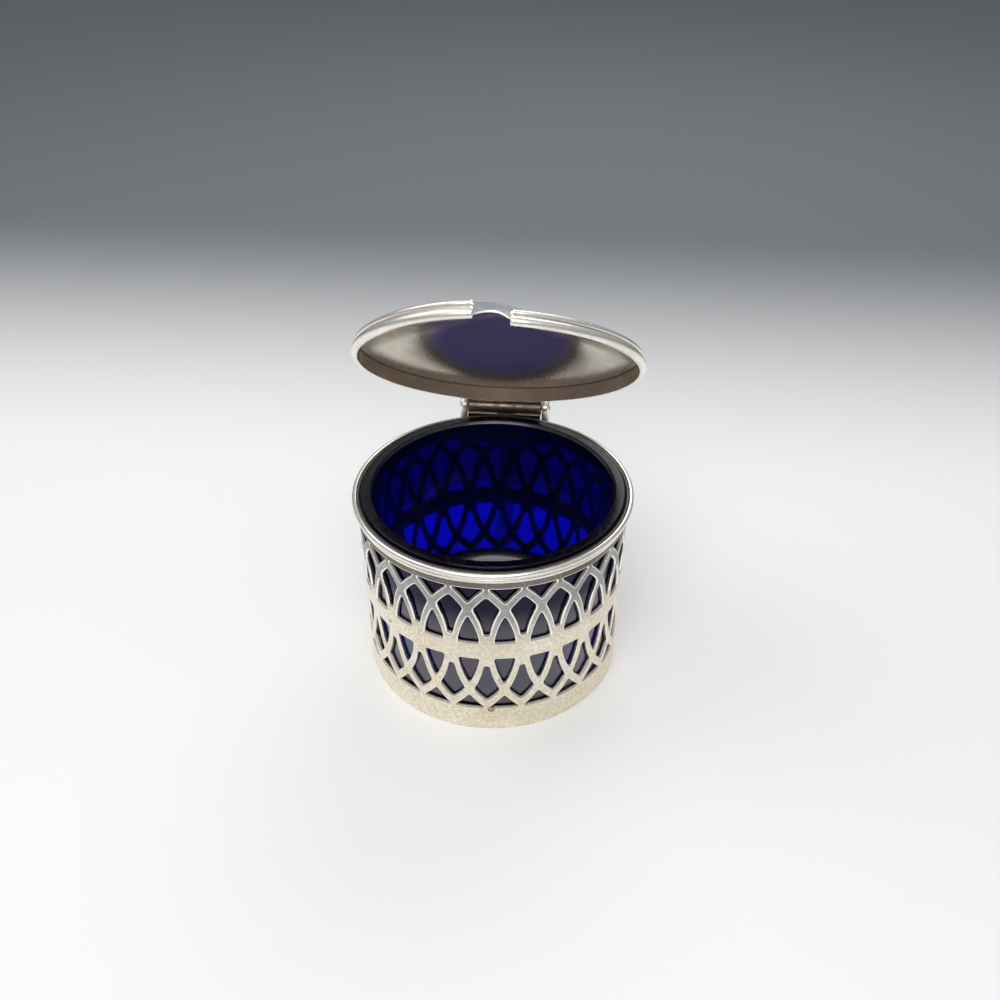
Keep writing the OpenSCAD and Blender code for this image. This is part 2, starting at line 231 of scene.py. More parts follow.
# near black: painted shade for the gap under the hinge barrel
paintedShadeFinish = dict(hiddenFinish, bright=(0.04, 0.035, 0.03, 1), dull=(0.02, 0.018, 0.015, 1))
drumSilver = oldSilver("drumSilver", drumFinish)
mouldingSilver = oldSilver("mouldingSilver", mouldingFinish)
bandSilver = oldSilver("bandSilver", bandFinish)
domeSilver = oldSilver("domeSilver", domeFinish)
shellSilver = oldSilver("shellSilver", shellFinish)
hingeSilver = oldSilver("hingeSilver", hingeFinish)
cutSilver = oldSilver("cutSilver", cutFinish)
filedSilver = oldSilver("filedSilver", filedFinish)
paintedShadeSilver = oldSilver("paintedShadeSilver", paintedShadeFinish)
hiddenSilver = oldSilver("hiddenSilver", hiddenFinish)

# marks that all the glass shares; filmEnds and the start of the painted shade towards the top are heights in
# millimetres
glassMarks = {
    "filmEnds": (26, 34), "topShadeFrom": (20, 30), "filmRoughness": 0.08, "striaeScale": 90,
    "striaeStretch": (1, 1, 0.3), "striaeDepth": 0.2, "smudgeScale": 260, "smudges": (0.4, 0.75),
}


# deep blue glass with faint striae, painted darker towards its top as painted shade
def blueGlass(name, finish):
    marks = glassMarks
    material, tree, shader = startMaterial(name)
    settings = {
        "Transmission Weight": 1.0, "IOR": finish["index"], "Specular Tint": finish["reflection"],
        "Coat Weight": finish["film"][0], "Coat IOR": finish["filmIndex"],
        "Coat Roughness": marks["filmRoughness"],
    }
    for key, value in settings.items():
        shader.inputs[key].default_value = value
    if finish["film"][0] != finish["film"][1]:
        low, high = marks["filmEnds"]
        film = remap(tree, objectPart(tree, "Z"), low * mm, high * mm, *finish["film"])
        tree.links.new(film, shader.inputs["Coat Weight"])
    striae = grain(tree, marks["striaeScale"], marks["striaeStretch"], detail=2.0)
    colour = mixColour(tree, striae, finish["tint"], finish["deep"])
    # painted shade: the glass is painted darker towards its top
    if finish["topShade"] < 1:
        low, high = marks["topShadeFrom"]
        topShade = remap(tree, objectPart(tree, "Z"), low * mm, high * mm, 1.0, finish["topShade"])
        colour = shadeColour(tree, colour, topShade)
    tree.links.new(colour, shader.inputs["Base Color"])
    smudges = grain(tree, marks["smudgeScale"], detail=5.0)
    tree.links.new(remap(tree, smudges, *marks["smudges"], *finish["roughness"]), shader.inputs["Roughness"])
    addBump(tree, shader, striae, finish["relief"], marks["striaeDepth"])
    return material


cobaltFinish = {  # inside of the liner
    "tint": (0.002, 0.003, 1.0, 1), "deep": (0.001, 0.002, 0.9, 1), "reflection": (1, 1, 1, 1), "index": 1.52,
    "roughness": (0.3, 0.38), "relief": 0.03, "film": (0.5, 0.5), "filmIndex": 1.5, "topShade": 0.12,
}
filmedFinish = dict(  # outside, seen through the piercings
    cobaltFinish, tint=(0.001, 0.002, 0.48, 1), deep=(0.001, 0.001, 0.4, 1), reflection=(0.62, 0.52, 1.0, 1),
    index=1.42, roughness=(0.05, 0.12), film=(0.75, 0.0), filmIndex=2.0,
)
deepFinish = dict(  # bottom
    cobaltFinish, tint=(0.001, 0.002, 0.05, 1), deep=(0.001, 0.001, 0.03, 1), roughness=(0.02, 0.06),
    film=(0.0, 0.0), topShade=1.0,
)
groundFinish = dict(  # flat rim
    deepFinish, tint=(0.01, 0.012, 0.06, 1), deep=(0.012, 0.012, 0.04, 1), roughness=(0.22, 0.34), relief=0.1,
    index=1.33,
)
cobaltGlass = blueGlass("cobaltGlass", cobaltFinish)
filmedGlass = blueGlass("filmedGlass", filmedFinish)
deepGlass = blueGlass("deepGlass", deepFinish)
groundGlass = blueGlass("groundGlass", groundFinish)
print("materials: old silver and blue glass")


# shared modelling steps
def addPiece(bm, name, body, nodes, materials, sharpAngle=None):
    bmesh.ops.scale(bm, vec=(mm, mm, mm), verts=bm.verts)
    mesh = bpy.data.meshes.new(name)
    bm.to_mesh(mesh)
    bm.free()
    for material in materials:
        mesh.materials.append(material)
    mesh.shade_smooth()
    if sharpAngle:
        mesh.set_sharp_from_angle(angle=math.radians(sharpAngle))
    piece = bpy.data.objects.new(name, mesh)
    bpy.context.scene.collection.objects.link(piece)
    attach(piece, body)
    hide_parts(*nodes)
    print("piece:", name, len(mesh.vertices), "points")
    return piece


def evenFaces(piece):
    piece.modifiers.new("evenFaces", "WEIGHTED_NORMAL").weight = 60


def arcPoints(centre, radius, start, end, steps):
    angles = [math.radians(start + (end - start) * i / steps) for i in range(steps + 1)]
    return [(centre[0] + radius * math.cos(a), centre[1] + radius * math.sin(a)) for a in angles]


# corners are (radius, height, rounding)
def roundedOutline(corners, steps):
    spots = [Vector(corner[:2]) for corner in corners]
    points = []
    for i, corner in enumerate(corners):
        spot, before, after = spots[i], spots[i - 1], spots[(i + 1) % len(spots)]
        if corner[2] == 0:
            points.append(tuple(spot))
            continue
        inward, outward = (before - spot).normalized(), (after - spot).normalized()
        half = inward.angle(outward) / 2
        centre = spot + (inward + outward).normalized() * corner[2] / math.sin(half)
        start = spot + inward * corner[2] / math.tan(half) - centre
        sweep = start.angle_signed(spot + outward * corner[2] / math.tan(half) - centre)
        for k in range(steps + 1):
            turned = start.copy()
            turned.rotate(Matrix.Rotation(-sweep * k / steps, 2))
            points.append(tuple(centre + turned))
    return points


def spinOutline(outline, steps, closed=True, start=0.0, sweep=2 * math.pi):
    bm = bmesh.new()
    ends = (math.cos(start), math.sin(start))
    ring = [bm.verts.new((r * ends[0], r * ends[1], z)) for r, z in outline]
    pairs = zip(ring, ring[1:] + ring[:1]) if closed else zip(ring, ring[1:])
    sides = [bm.edges.new(pair) for pair in pairs]
    full = sweep > 2 * math.pi - 0.001
    bmesh.ops.spin(
        bm, geom=ring + sides, cent=(0, 0, 0), axis=(0, 0, 1), dvec=(0, 0, 0),
        angle=sweep, steps=steps, use_merge=full,
    )
    bmesh.ops.remove_doubles(bm, verts=bm.verts, dist=0.0005)
    if not full:
        bmesh.ops.holes_fill(bm, edges=[e for e in bm.edges if e.is_boundary], sides=0)
    bmesh.ops.recalc_face_normals(bm, faces=bm.faces)
    return bm


def smoothStep(value):
    value = min(1.0, max(0.0, value))
    return value * value * (3 - 2 * value)


# sets a point value from each point's place
def paintPoints(bm, name, rule):
    layer = bm.verts.layers.float.new(name)
    for vert in bm.verts:
        vert[layer] = rule(vert.co, vert.co.xy.length)


# pierced drum
drum = {
    "footRadius": 28.1, "flare": 0.9, "fullHeight": 43.9, "wallTop": 43.75, "sheet": 0.8,
    "arches": 24, "turn": 2.3, "bandLow": 20.6, "bandHigh": 25.0, "lowerHeight": 14.3, "upperHeight": 14.5,
    "archRadius": 20.0, "lancetWidth": 4.4, "limbWidth": 1.15, "crown": 2.2, "tip": 2.1, "neck": 0.9,
    "spacing": 0.4, "softening": 2, "edgeRound": 0.4, "edgeSegments": 4, "edgeDepth": 0.65, "bends": 5,
    "wobble": 0.09, "wobbleScale": 0.16, "wobbleFade": 3, "wobbleSeed": 1, "plainEdge": 1,
    "fasciaFrom": 39.6, "fasciaDirt": 0.65, "arrisDepth": (0.05, 0.2), "deepShadeFrom": 0.45, "deepShade": 0.5,
    "arrisDirt": (0.55, 0.75), "wornAndHighlitEdges": (0.35, 1.0),  # lower and upper register
}


def drumRadius(z):
    return drum["footRadius"] + drum["flare"] * z / drum["fullHeight"]


# centre of the arc that rises from a foot on the springing line to a top
def arcCentre(foot, top):
    start = Vector((foot, 0))
    chord = Vector(top) - start
    away = math.sqrt(drum["archRadius"] ** 2 - chord.length_squared / 4)
    return start + chord / 2 + Vector((-chord.y, chord.x)) * away / chord.length


# upper meeting point of two limbs' edges
def meeting(first, second):
    across = second - first
    away = math.sqrt(drum["archRadius"] ** 2 - across.length_squared / 4)
    return first + across / 2 + Vector((-across.y, across.x)) * away / across.length


# points along legs that are straight, or arcs about a centre
def traceEdge(start, legs):
    points = [Vector(start)]
    for end, centre in legs:
        begin, end = points[-1], Vector(end)
        count = max(2, round((end - begin).length / drum["spacing"]))
        for i in range(1, count + 1):
            spot = begin.lerp(end, i / count)
            if centre is not None:
                spot = centre + (spot - centre).normalized() * drum["archRadius"]
            points.append(spot)
    return points


# a saw-cut edge has soft corners; its two ends lie on lines of symmetry
def softenEdge(points):
    for _ in range(drum["softening"]):
        middle = [(a + 2 * b + c) / 4 for a, b, c in zip(points, points[1:], points[2:])]
        first = Vector((points[0].x, (points[0].y + points[1].y) / 2))
        last = Vector((points[-1].x, (points[-1].y + points[-2].y) / 2))
        points = [first] + middle + [last]
    return points


# half of each kind of opening in one register, from an arch's axis to half way to the next
def halfOpenings(radius, height):
    pitch = 2 * math.pi * radius / drum["arches"]
    half = pitch / 2
    foot = (pitch + drum["lancetWidth"]) / 2
    inner = arcCentre(foot, (0, height - drum["crown"]))
    outer = arcCentre(foot + drum["limbWidth"], (drum["neck"] / 2, height))
    nextInner = Vector((pitch - inner.x, inner.y))
    nextOuter = Vector((pitch - outer.x, outer.y))

    def heightOn(centre):
        return centre.y + math.sqrt(drum["archRadius"] ** 2 - (half - centre.x) ** 2)

    tipHalf = nextOuter.x - math.sqrt(drum["archRadius"] ** 2 - (drum["tip"] - nextOuter.y) ** 2)
    kite = traceEdge((0, height - drum["crown"]), [
        (meeting(inner, nextOuter), inner), ((tipHalf, drum["tip"]), nextOuter), ((0, drum["tip"]), None)])
    lancet = traceEdge((half, 0), [
        ((pitch - foot, 0), None), ((half, heightOn(nextInner)), nextInner)])
    spandrel = traceEdge((half, heightOn(outer)), [
        ((drum["neck"] / 2, height), outer), ((half, height), None)])
    return softenEdge(kite), softenEdge(lancet), softenEdge(spandrel)


# outline of the sheet across half an arch and the drum's whole height: angle round the drum, height
def halfSheet():
    halfStep = math.pi / drum["arches"]
    right, left = [], []
    for spring, height, way in (
        (drum["bandLow"], drum["lowerHeight"], -1), (drum["bandHigh"], drum["upperHeight"], 1),
    ):
        radius = drumRadius(spring + way * height / 2)
        kite, lancet, spandrel = halfOpenings(radius, height)
        right.append([(p.x / radius, spring + way * p.y) for p in (lancet + spandrel)[::way]])
        left.append([(p.x / radius, spring + way * p.y) for p in kite[::way]])
    corners = [(0, 0), (halfStep, 0)], [(halfStep, drum["wallTop"]), (0, drum["wallTop"])]
    return corners[0] + right[0] + right[1] + corners[1] + left[1] + left[0]


def makeDrum():
    flatRadius = drumRadius(drum["wallTop"] / 2)
    halfWidth = math.pi / drum["arches"] * flatRadius
    bm = bmesh.new()
    bm.faces.new([bm.verts.new((angle * flatRadius, z, 0)) for angle, z in halfSheet()])
    backs = bmesh.ops.extrude_face_region(bm, geom=bm.faces[:], use_keep_orig=True)["geom"]
    backs = [v for v in backs if isinstance(v, bmesh.types.BMVert)]
    bmesh.ops.translate(bm, vec=(0, 0, -drum["sheet"]), verts=backs)
    for line in (0, halfWidth):  # the cut faces on the lines of symmetry are joined later
        cut = [f for f in bm.faces if all(abs(v.co.x - line) < 0.0001 for v in f.verts)]
        bmesh.ops.delete(bm, geom=cut, context="FACES_ONLY")
    bmesh.ops.recalc_face_normals(bm, faces=bm.faces)
    bm.normal_update()
    arrises = [
        e for e in bm.edges
        if len(e.link_faces) == 2 and all(v.co.z > -0.001 for v in e.verts)
        and abs(abs(e.link_faces[0].normal.z) - abs(e.link_faces[1].normal.z)) > 0.5
    ]
    bmesh.ops.bevel(
        bm, geom=arrises, offset=drum["edgeRound"], offset_type="OFFSET", segments=drum["edgeSegments"],
        profile=0.5, affect="EDGES", material=-1, clamp_overlap=False,
    )
    for vert in bm.verts:  # filing made the rounding wider than deep
        if vert.co.z > -drum["edgeRound"] - 0.01:
            vert.co.z *= drum["edgeDepth"]
    for i in range(1, drum["bends"]):
        everything = bm.verts[:] + bm.edges[:] + bm.faces[:]
        place = (halfWidth * i / drum["bends"], 0, 0)
        bmesh.ops.bisect_plane(bm, geom=everything, plane_co=place, plane_no=(1, 0, 0), dist=0.002)
    everything = bm.verts[:] + bm.edges[:] + bm.faces[:]
    bmesh.ops.mirror(bm, geom=everything, matrix=Matrix.Identity(4), merge_dist=0.001, axis="X")
    bmesh.ops.recalc_face_normals(bm, faces=bm.faces)
    bm.normal_update()
    wornAndHighlight, grimeAndShade = bm.verts.layers.float.new("wornAndHighlight"), bm.verts.layers.float.new("grimeAndShade")
    low, high = drum["plainEdge"], drum["wallTop"] - drum["plainEdge"]
    for vert in bm.verts:  # wrap the flat sheet round the cone
        angle, z, depth = vert.co.x / flatRadius, vert.co.y, vert.co.z
        upper = 1 if z > drum["bandHigh"] else 0
        if depth < -0.01 and low < z < high:
            if vert.normal.y > 0.3:  # an edge that faces up keeps a line of dirt along its arris
                dirty = drum["arrisDepth"][0] < -depth < drum["arrisDepth"][1]
                vert[grimeAndShade] = drum["arrisDirt"][upper] if dirty else 0.0
            else:
                # worn edges; in the upper register they are brighter as a painted highlight
                vert[wornAndHighlight] = drum["wornAndHighlitEdges"][upper]
                # painted shade on the half of the edge next to the glass
                vert[grimeAndShade] = drum["deepShade"] if -depth > drum["deepShadeFrom"] else 0.0
        elif z > drum["fasciaFrom"]:
            vert[grimeAndShade] = drum["fasciaDirt"]
        radius = drumRadius(z) + depth
        vert.co = (radius * math.sin(angle), -radius * math.cos(angle), z)
    turn = Matrix.Rotation(math.radians(drum["turn"]), 3, "Z")
    bmesh.ops.rotate(bm, cent=(0, 0, 0), matrix=turn, verts=bm.verts)
    steps = drum["arches"] - 1
    bmesh.ops.spin(
        bm, geom=bm.verts[:] + bm.edges[:] + bm.faces[:], cent=(0, 0, 0), axis=(0, 0, 1), dvec=(0, 0, 0),
        angle=2 * math.pi * steps / drum["arches"], steps=steps, use_duplicate=True,
    )
    bmesh.ops.remove_doubles(bm, verts=bm.verts, dist=0.003)
    bmesh.ops.recalc_face_normals(bm, faces=bm.faces)
    fade = drum["wobbleFade"]
    noise.seed_set(drum["wobbleSeed"])  # without it the clock picks the wobble
    for vert in bm.verts:  # no two openings of a hand-sawn sheet are quite alike
        drift = noise.noise_vector(vert.co * drum["wobbleScale"]) * drum["wobble"]
        fromFoot, fromTop = vert.co.z, drum["wallTop"] - vert.co.z
        vert.co += drift * smoothStep(fromFoot / fade) * smoothStep(fromTop / fade)
    bm.normal_update()
    for face in bm.faces:  # the side against the glass, painted dark as painted shade, was never polished, nor the saw cuts that look up
        middle = face.calc_center_median()
        if middle.xy.length < drumRadius(middle.z) - drum["sheet"] + 0.02:
            face.material_index = 1
        elif face.normal.z > 0.5 and low < middle.z < high:
            face.material_index = 2
    print("drum: open edges", sum(1 for e in bm.edges if not e.is_manifold))
    silvers = [drumSilver, hiddenSilver, cutSilver]
    piece = addPiece(bm, "pierced_drum", "body", ["drum_wall"], silvers)
    evenFaces(piece)


makeDrum()

# bead and reed round the mouth
rim = {
    "bead": (29.3, 43.2), "beadRadius": 0.7, "beadArc": (-100, 105),
    "reed": (28.897, 41.9), "reedRadius": 0.6, "reedArc": (-75, 58), "seat": 0.03, "steps": 192,
    "dirtAndShade": 0.85, "groove": 42.5, "grooveWidth": 0.28, "grooveRadius": 29.5, "grooveFade": 0.2,
    "topFrom": 43.3, "topRadius": 29.85, "topFade": 0.3, "backFrom": 12, "backFade": 12,
}


def makeRim():
    low, high = rim["reed"][1] - rim["reedRadius"], rim["bead"][1] + rim["beadRadius"]
    reed = arcPoints(rim["reed"], rim["reedRadius"], *rim["reedArc"], 12)
    bead = arcPoints(rim["bead"], rim["beadRadius"], *rim["beadArc"], 16)
    inside = [(drumRadius(high) + rim["seat"], high - 0.05), (drumRadius(low) + rim["seat"], low + 0.02)]
    bm = spinOutline(reed + bead + inside, rim["steps"])

    def rimDirtAndShade(place, radius):
        groove = smoothStep(1 - abs(place.z - rim["groove"]) / rim["grooveWidth"])
        groove *= smoothStep((rim["grooveRadius"] - radius) / rim["grooveFade"])
        # painted shade: the bead's top at the back, under the open lid and hinge, is painted dark
        top = smoothStep((rim["topRadius"] - radius) / rim["topFade"])
        top *= smoothStep((place.z - rim["topFrom"]) / rim["topFade"])
        top *= smoothStep((place.y - rim["backFrom"]) / rim["backFade"])  # painted shade by the hinge
        return rim["dirtAndShade"] * max(groove, top)

    paintPoints(bm, "grimeAndShade", rimDirtAndShade)
    addPiece(bm, "mouth_moulding", "body", ["rim_moulding"], [mouldingSilver], 50)


makeRim()

# blue glass liner
liner = {
    "base": 1.03, "footRadius": 27.22, "topRadius": 28.1, "top": 44.5, "rimWidth": 2.0, "wall": 2.5,
    "floor": 4.4, "fillet": 5.0, "footBevel": 1.2, "footRound": 0.4, "pushUp": 0.8, "pushUpReach": 0.45,
    "pushUpRound": 6, "innerLip": 0.6, "innerRound": 0.3, "rimRound": 0.25, "outerRound": 0.3,
    "deepRise": 1.2, "steps": 144,
}


def makeLiner():
    innerTop, innerFoot = liner["topRadius"] - liner["wall"], liner["footRadius"] - liner["wall"]
    rimEdge = liner["topRadius"] - liner["rimWidth"]
    corners = [
        (0, liner["floor"] + liner["pushUp"], 0),
        (innerFoot * liner["pushUpReach"], liner["floor"] + 0.1, liner["pushUpRound"]),
        (innerFoot, liner["floor"], liner["fillet"]),
        (innerTop, liner["top"] - liner["innerLip"], liner["innerRound"]),
        (rimEdge, liner["top"], liner["rimRound"]),
        (liner["topRadius"], liner["top"], liner["outerRound"]),
        (liner["footRadius"], liner["base"] + liner["footBevel"], liner["footRound"]),
        (liner["footRadius"] - liner["footBevel"], liner["base"], liner["footRound"]),
        (0, liner["base"], 0),
    ]
    outline = [Vector(p) for p in roundedOutline(corners, 6)]
    bm = spinOutline(outline, liner["steps"], closed=False)
    for face in bm.faces:
        middle = face.calc_center_median()
        if middle.z > liner["top"] - 0.02:
            face.material_index = 1
        elif middle.xy.length > liner["footRadius"] - 0.2:
            face.material_index = 2
        elif middle.z < liner["floor"] + liner["deepRise"]:
            face.material_index = 3
    glasses = [cobaltGlass, groundGlass, filmedGlass, deepGlass]
    addPiece(bm, "blue_liner", "body", ["glass_liner"], glasses, 40)


makeLiner()

# lid: ring and dome are made closed and turned open on the hinge
lid = {"ringRadius": 28.7, "notchHalf": 3.4, "notchTurn": 1.5, "spreadLeft": 0.2, "spreadRight": 0.85}


def turnNotch(bm):
    turn = Matrix.Rotation(math.radians(lid["notchTurn"]), 3, "Z")
    bmesh.ops.rotate(bm, cent=(0, 0, 0), matrix=turn, verts=bm.verts)


# cut at the notch, the lid has spread, most to the right
def spreadLid(bm):
    for vert in bm.verts:
        across = vert.co.x / lid["ringRadius"]
        vert.co.x += across * abs(across) * lid["spreadRight" if across > 0 else "spreadLeft"]


def openLid(bm):
    bmesh.ops.rotate(bm, cent=hingePlace, matrix=Matrix.Rotation(-lidOpen, 3, "X"), verts=bm.verts)


# moulded ring of the lid, cut through at the notch
lidRing = {
    "bead": (28.95, 45.55), "beadRadius": 1.05, "beadArc": (-104, 62),
    "reed": (28.95, 47.2), "reedRadius": 0.6, "reedArc": (-52, 115),
    "insideHeights": (47.78, 47.58, 47.42, 44.62), "steps": 236, "endRound": 0.55, "endInset": 0.4,
    "bendLift": 1.35, "bendSpread": 75.0, "bendTwist": 0.16, "bendMiddle": 46.15,
    "groove": 46.62, "grooveWidth": 0.25, "grooveRadius": 29.5, "grooveFade": 0.2, "grooveDirt": 0.7,
    "seamFrom": 47.45, "seamFade": 0.2, "seamRadius": 28.8, "seamWidth": 0.05,
}


# the ring's left end was lifted off the dome's edge long ago
def bendRing(bm):
    for vert in bm.verts:
        angle = math.degrees(math.atan2(-vert.co.x, -vert.co.y)) + lid["notchTurn"]
        if angle > 0:
            twist = lidRing["bendTwist"] * (vert.co.z - lidRing["bendMiddle"])
            vert.co.z += smoothStep(1 - angle / lidRing["bendSpread"]) * (lidRing["bendLift"] + twist)


# rounds off the ring's end that a cap closes
def roundEnd(bm, cap):
    way = math.copysign(1, cap.calc_center_median().x)
    for vert in cap.verts:
        vert.co.x = way * (lid["notchHalf"] + lidRing["endRound"])
    reach, size = 0.0, 1.0
    for degrees in range(15, 91, 15):
        turned = math.radians(degrees)
        step = lidRing["endRound"] * math.sin(turned) - reach
        shrink = (1 - lidRing["endInset"] * (1 - math.cos(turned))) / size
        reach, size = reach + step, size * shrink
        old, grown = cap, bmesh.ops.extrude_face_region(bm, geom=[cap])["geom"]
        cap = next(f for f in grown if isinstance(f, bmesh.types.BMFace))
        if old.is_valid:
            bmesh.ops.delete(bm, geom=[old], context="FACES_ONLY")
        middle = cap.calc_center_median()
        for vert in cap.verts:
            vert.co = middle + (vert.co - middle) * shrink - Vector((way * step, 0, 0))


def makeLidRing():
    insideRadius = lid["ringRadius"]
    bead = arcPoints(lidRing["bead"], lidRing["beadRadius"], *lidRing["beadArc"], 18)
    reed = arcPoints(lidRing["reed"], lidRing["reedRadius"], *lidRing["reedArc"], 12)
    inside = [(insideRadius, z) for z in lidRing["insideHeights"]]
    gap = math.asin(lid["notchHalf"] / lidRing["bead"][0])
    bm = spinOutline(bead + reed + inside, lidRing["steps"], True, -math.pi / 2 + gap, 2 * math.pi - 2 * gap)
    for cap in [f for f in bm.faces if len(f.verts) > 8]:
        roundEnd(bm, cap)
    bmesh.ops.recalc_face_normals(bm, faces=bm.faces)
    for face in bm.faces:
        face.material_index = 1 if face.calc_center_median().xy.length < insideRadius + 0.02 else 0

    def ringDirt(place, radius):
        groove = smoothStep(1 - abs(place.z - lidRing["groove"]) / lidRing["grooveWidth"])
        groove *= smoothStep((lidRing["grooveRadius"] - radius) / lidRing["grooveFade"])
        seam = smoothStep((lidRing["seamRadius"] - radius) / lidRing["seamWidth"])
        seam *= smoothStep((place.z - lidRing["seamFrom"]) / lidRing["seamFade"])
        return max(seam, lidRing["grooveDirt"] * groove)

    paintPoints(bm, "grimeAndShade", ringDirt)
    turnNotch(bm)
    bendRing(bm)
    spreadLid(bm)
    openLid(bm)
    print("lid ring: open edges", sum(1 for e in bm.edges if not e.is_manifold))
    addPiece(bm, "lid_moulding", "lid", ["lid_ring"], [mouldingSilver, bandSilver], 50)


makeLidRing()

# dome of the lid, with a violet painted reflection of the blue liner inside
dome = {
    "edge": 28.67, "base": 47.4, "rise": 9.0, "sheet": 0.4, "rings": 36, "steps": 360, "hem": 0.25,
    "insideBase": 47.75, "insideRise": 8.3, "insidePower": 1.15, "insideCrown": 2.5,
    "frontSink": 0.45, "frontFrom": -10, "frontFade": 14, "dent": 1.1, "dentWidth": 6.5,
    "notchDepth": 1.8, "notchFrom": 22.0, "notchMargin": 0.35,
    "seamFrom": 28.45, "seamFade": 0.15, "seamDirt": 0.9,
    "patch": (16.4, 21.0), "patchY": 4.5, "patchReach": 1.26, "patchFade": 0.52,
}


def ballHeight(radius):
    sphere = (dome["edge"] ** 2 + dome["rise"] ** 2) / (2 * dome["rise"])
    return dome["base"] + dome["rise"] - sphere + math.sqrt(sphere ** 2 - radius ** 2)


def hollowHeight(radius):
    def swell(r):
        return (r ** 2 + dome["insideCrown"] ** 2) ** (dome["insidePower"] / 2)

    share = (swell(radius) - swell(0)) / (swell(dome["edge"]) - swell(0))
    return dome["insideBase"] + dome["insideRise"] * (1 - share)


# the outside is part of a sphere, sunk at the front and dented at the front right;
# the inside is flatter towards its edge and meets the ring higher up
def domeHeights(place):
    radius = min(place.xy.length, dome["edge"])
    ball, hollow = ballHeight(radius), hollowHeight(radius)
    back = smoothStep((place.y - dome["frontFrom"]) / dome["frontFade"])
    sunk = (1 - back) * dome["frontSink"]
    dent = (1 - back) * dome["dent"] * smoothStep(place.x / dome["dentWidth"])
    outside = ball + back * max(0, hollow + dome["sheet"] - ball) - sunk - dent
    return outside, min(hollow - sunk, outside - dome["sheet"])


def makeDome():
    edge, half, depth, drawnFrom = dome["edge"], lid["notchHalf"], dome["notchDepth"], dome["notchFrom"]
    spacing = [edge * i / dome["rings"] for i in range(dome["rings"])] + [edge - dome["hem"], edge]
    outline = [(r, 1) for r in spacing] + [(r, -1) for r in reversed(spacing)]
    bm = spinOutline(outline, dome["steps"], closed=False, start=-math.pi / 2)
    arc = (half ** 2 + depth ** 2) / (2 * depth)
    arcPlace = lid["ringRadius"] - depth + arc
    wornAndHighlight = bm.verts.layers.float.new("wornAndHighlight")
    for vert in bm.verts:
        radius, across, side = vert.co.xy.length, vert.co.x, vert.co.z
        if vert.co.y < 0 and abs(across) < half + dome["notchMargin"] and radius > drawnFrom:
            # draw the rings near the notch in to its arc
            reach = arcPlace - math.sqrt(arc ** 2 - min(abs(across), half) ** 2)
            share = (min(edge, math.hypot(reach, across)) - drawnFrom) / (edge - drawnFrom)
            vert[wornAndHighlight] = 1.0 if radius > edge - 0.01 and share < 0.999 else 0.0
            vert.co.xy *= (drawnFrom + (radius - drawnFrom) * share) / radius
        vert.co.z = domeHeights(vert.co)[0 if side > 0 else 1]

    def seamDirt(place, radius):
        return dome["seamDirt"] * smoothStep((radius - dome["seamFrom"]) / dome["seamFade"])

    # painted reflection of the blue liner: an oval patch inside the dome
    def linerReflectionPatch(place, radius):
        away = math.hypot(place.x / dome["patch"][0], (place.y - dome["patchY"]) / dome["patch"][1])
        return smoothStep((dome["patchReach"] - away) / dome["patchFade"])

    paintPoints(bm, "grimeAndShade", seamDirt)
    paintPoints(bm, "linerReflection", linerReflectionPatch)
    bm.normal_update()
    for face in bm.faces:
        face.material_index = 1 if face.normal.z > 0.3 else 0
        if all(v[wornAndHighlight] > 0.5 for v in face.verts):  # the notch's cut edge
            face.material_index = 2
    turnNotch(bm)
    spreadLid(bm)
    openLid(bm)
    print("dome: open edges", sum(1 for e in bm.edges if not e.is_manifold))
    silvers = [domeSilver, shellSilver, filedSilver]
    addPiece(bm, "lid_shell", "lid", ["lid_dome"], silvers, 50)


makeDome()

# loop handle: a half-round strap bent round a bow, with a straight leg down to the foot band
handle = {
    "width": 5.0, "thickness": 2.0, "bowRadius": 15.0, "bowY": 30.576, "bowZ": 23.47, "legFoot": 4.0,
    "seat": 0.03, "flatFrom": 0.05, "flatInset": 0.2, "crownInset": 0.12, "crownSteps": 16,
    "bowSteps": 48, "legSteps": 6, "fitSteps": 12, "fitShare": 0.9,
}


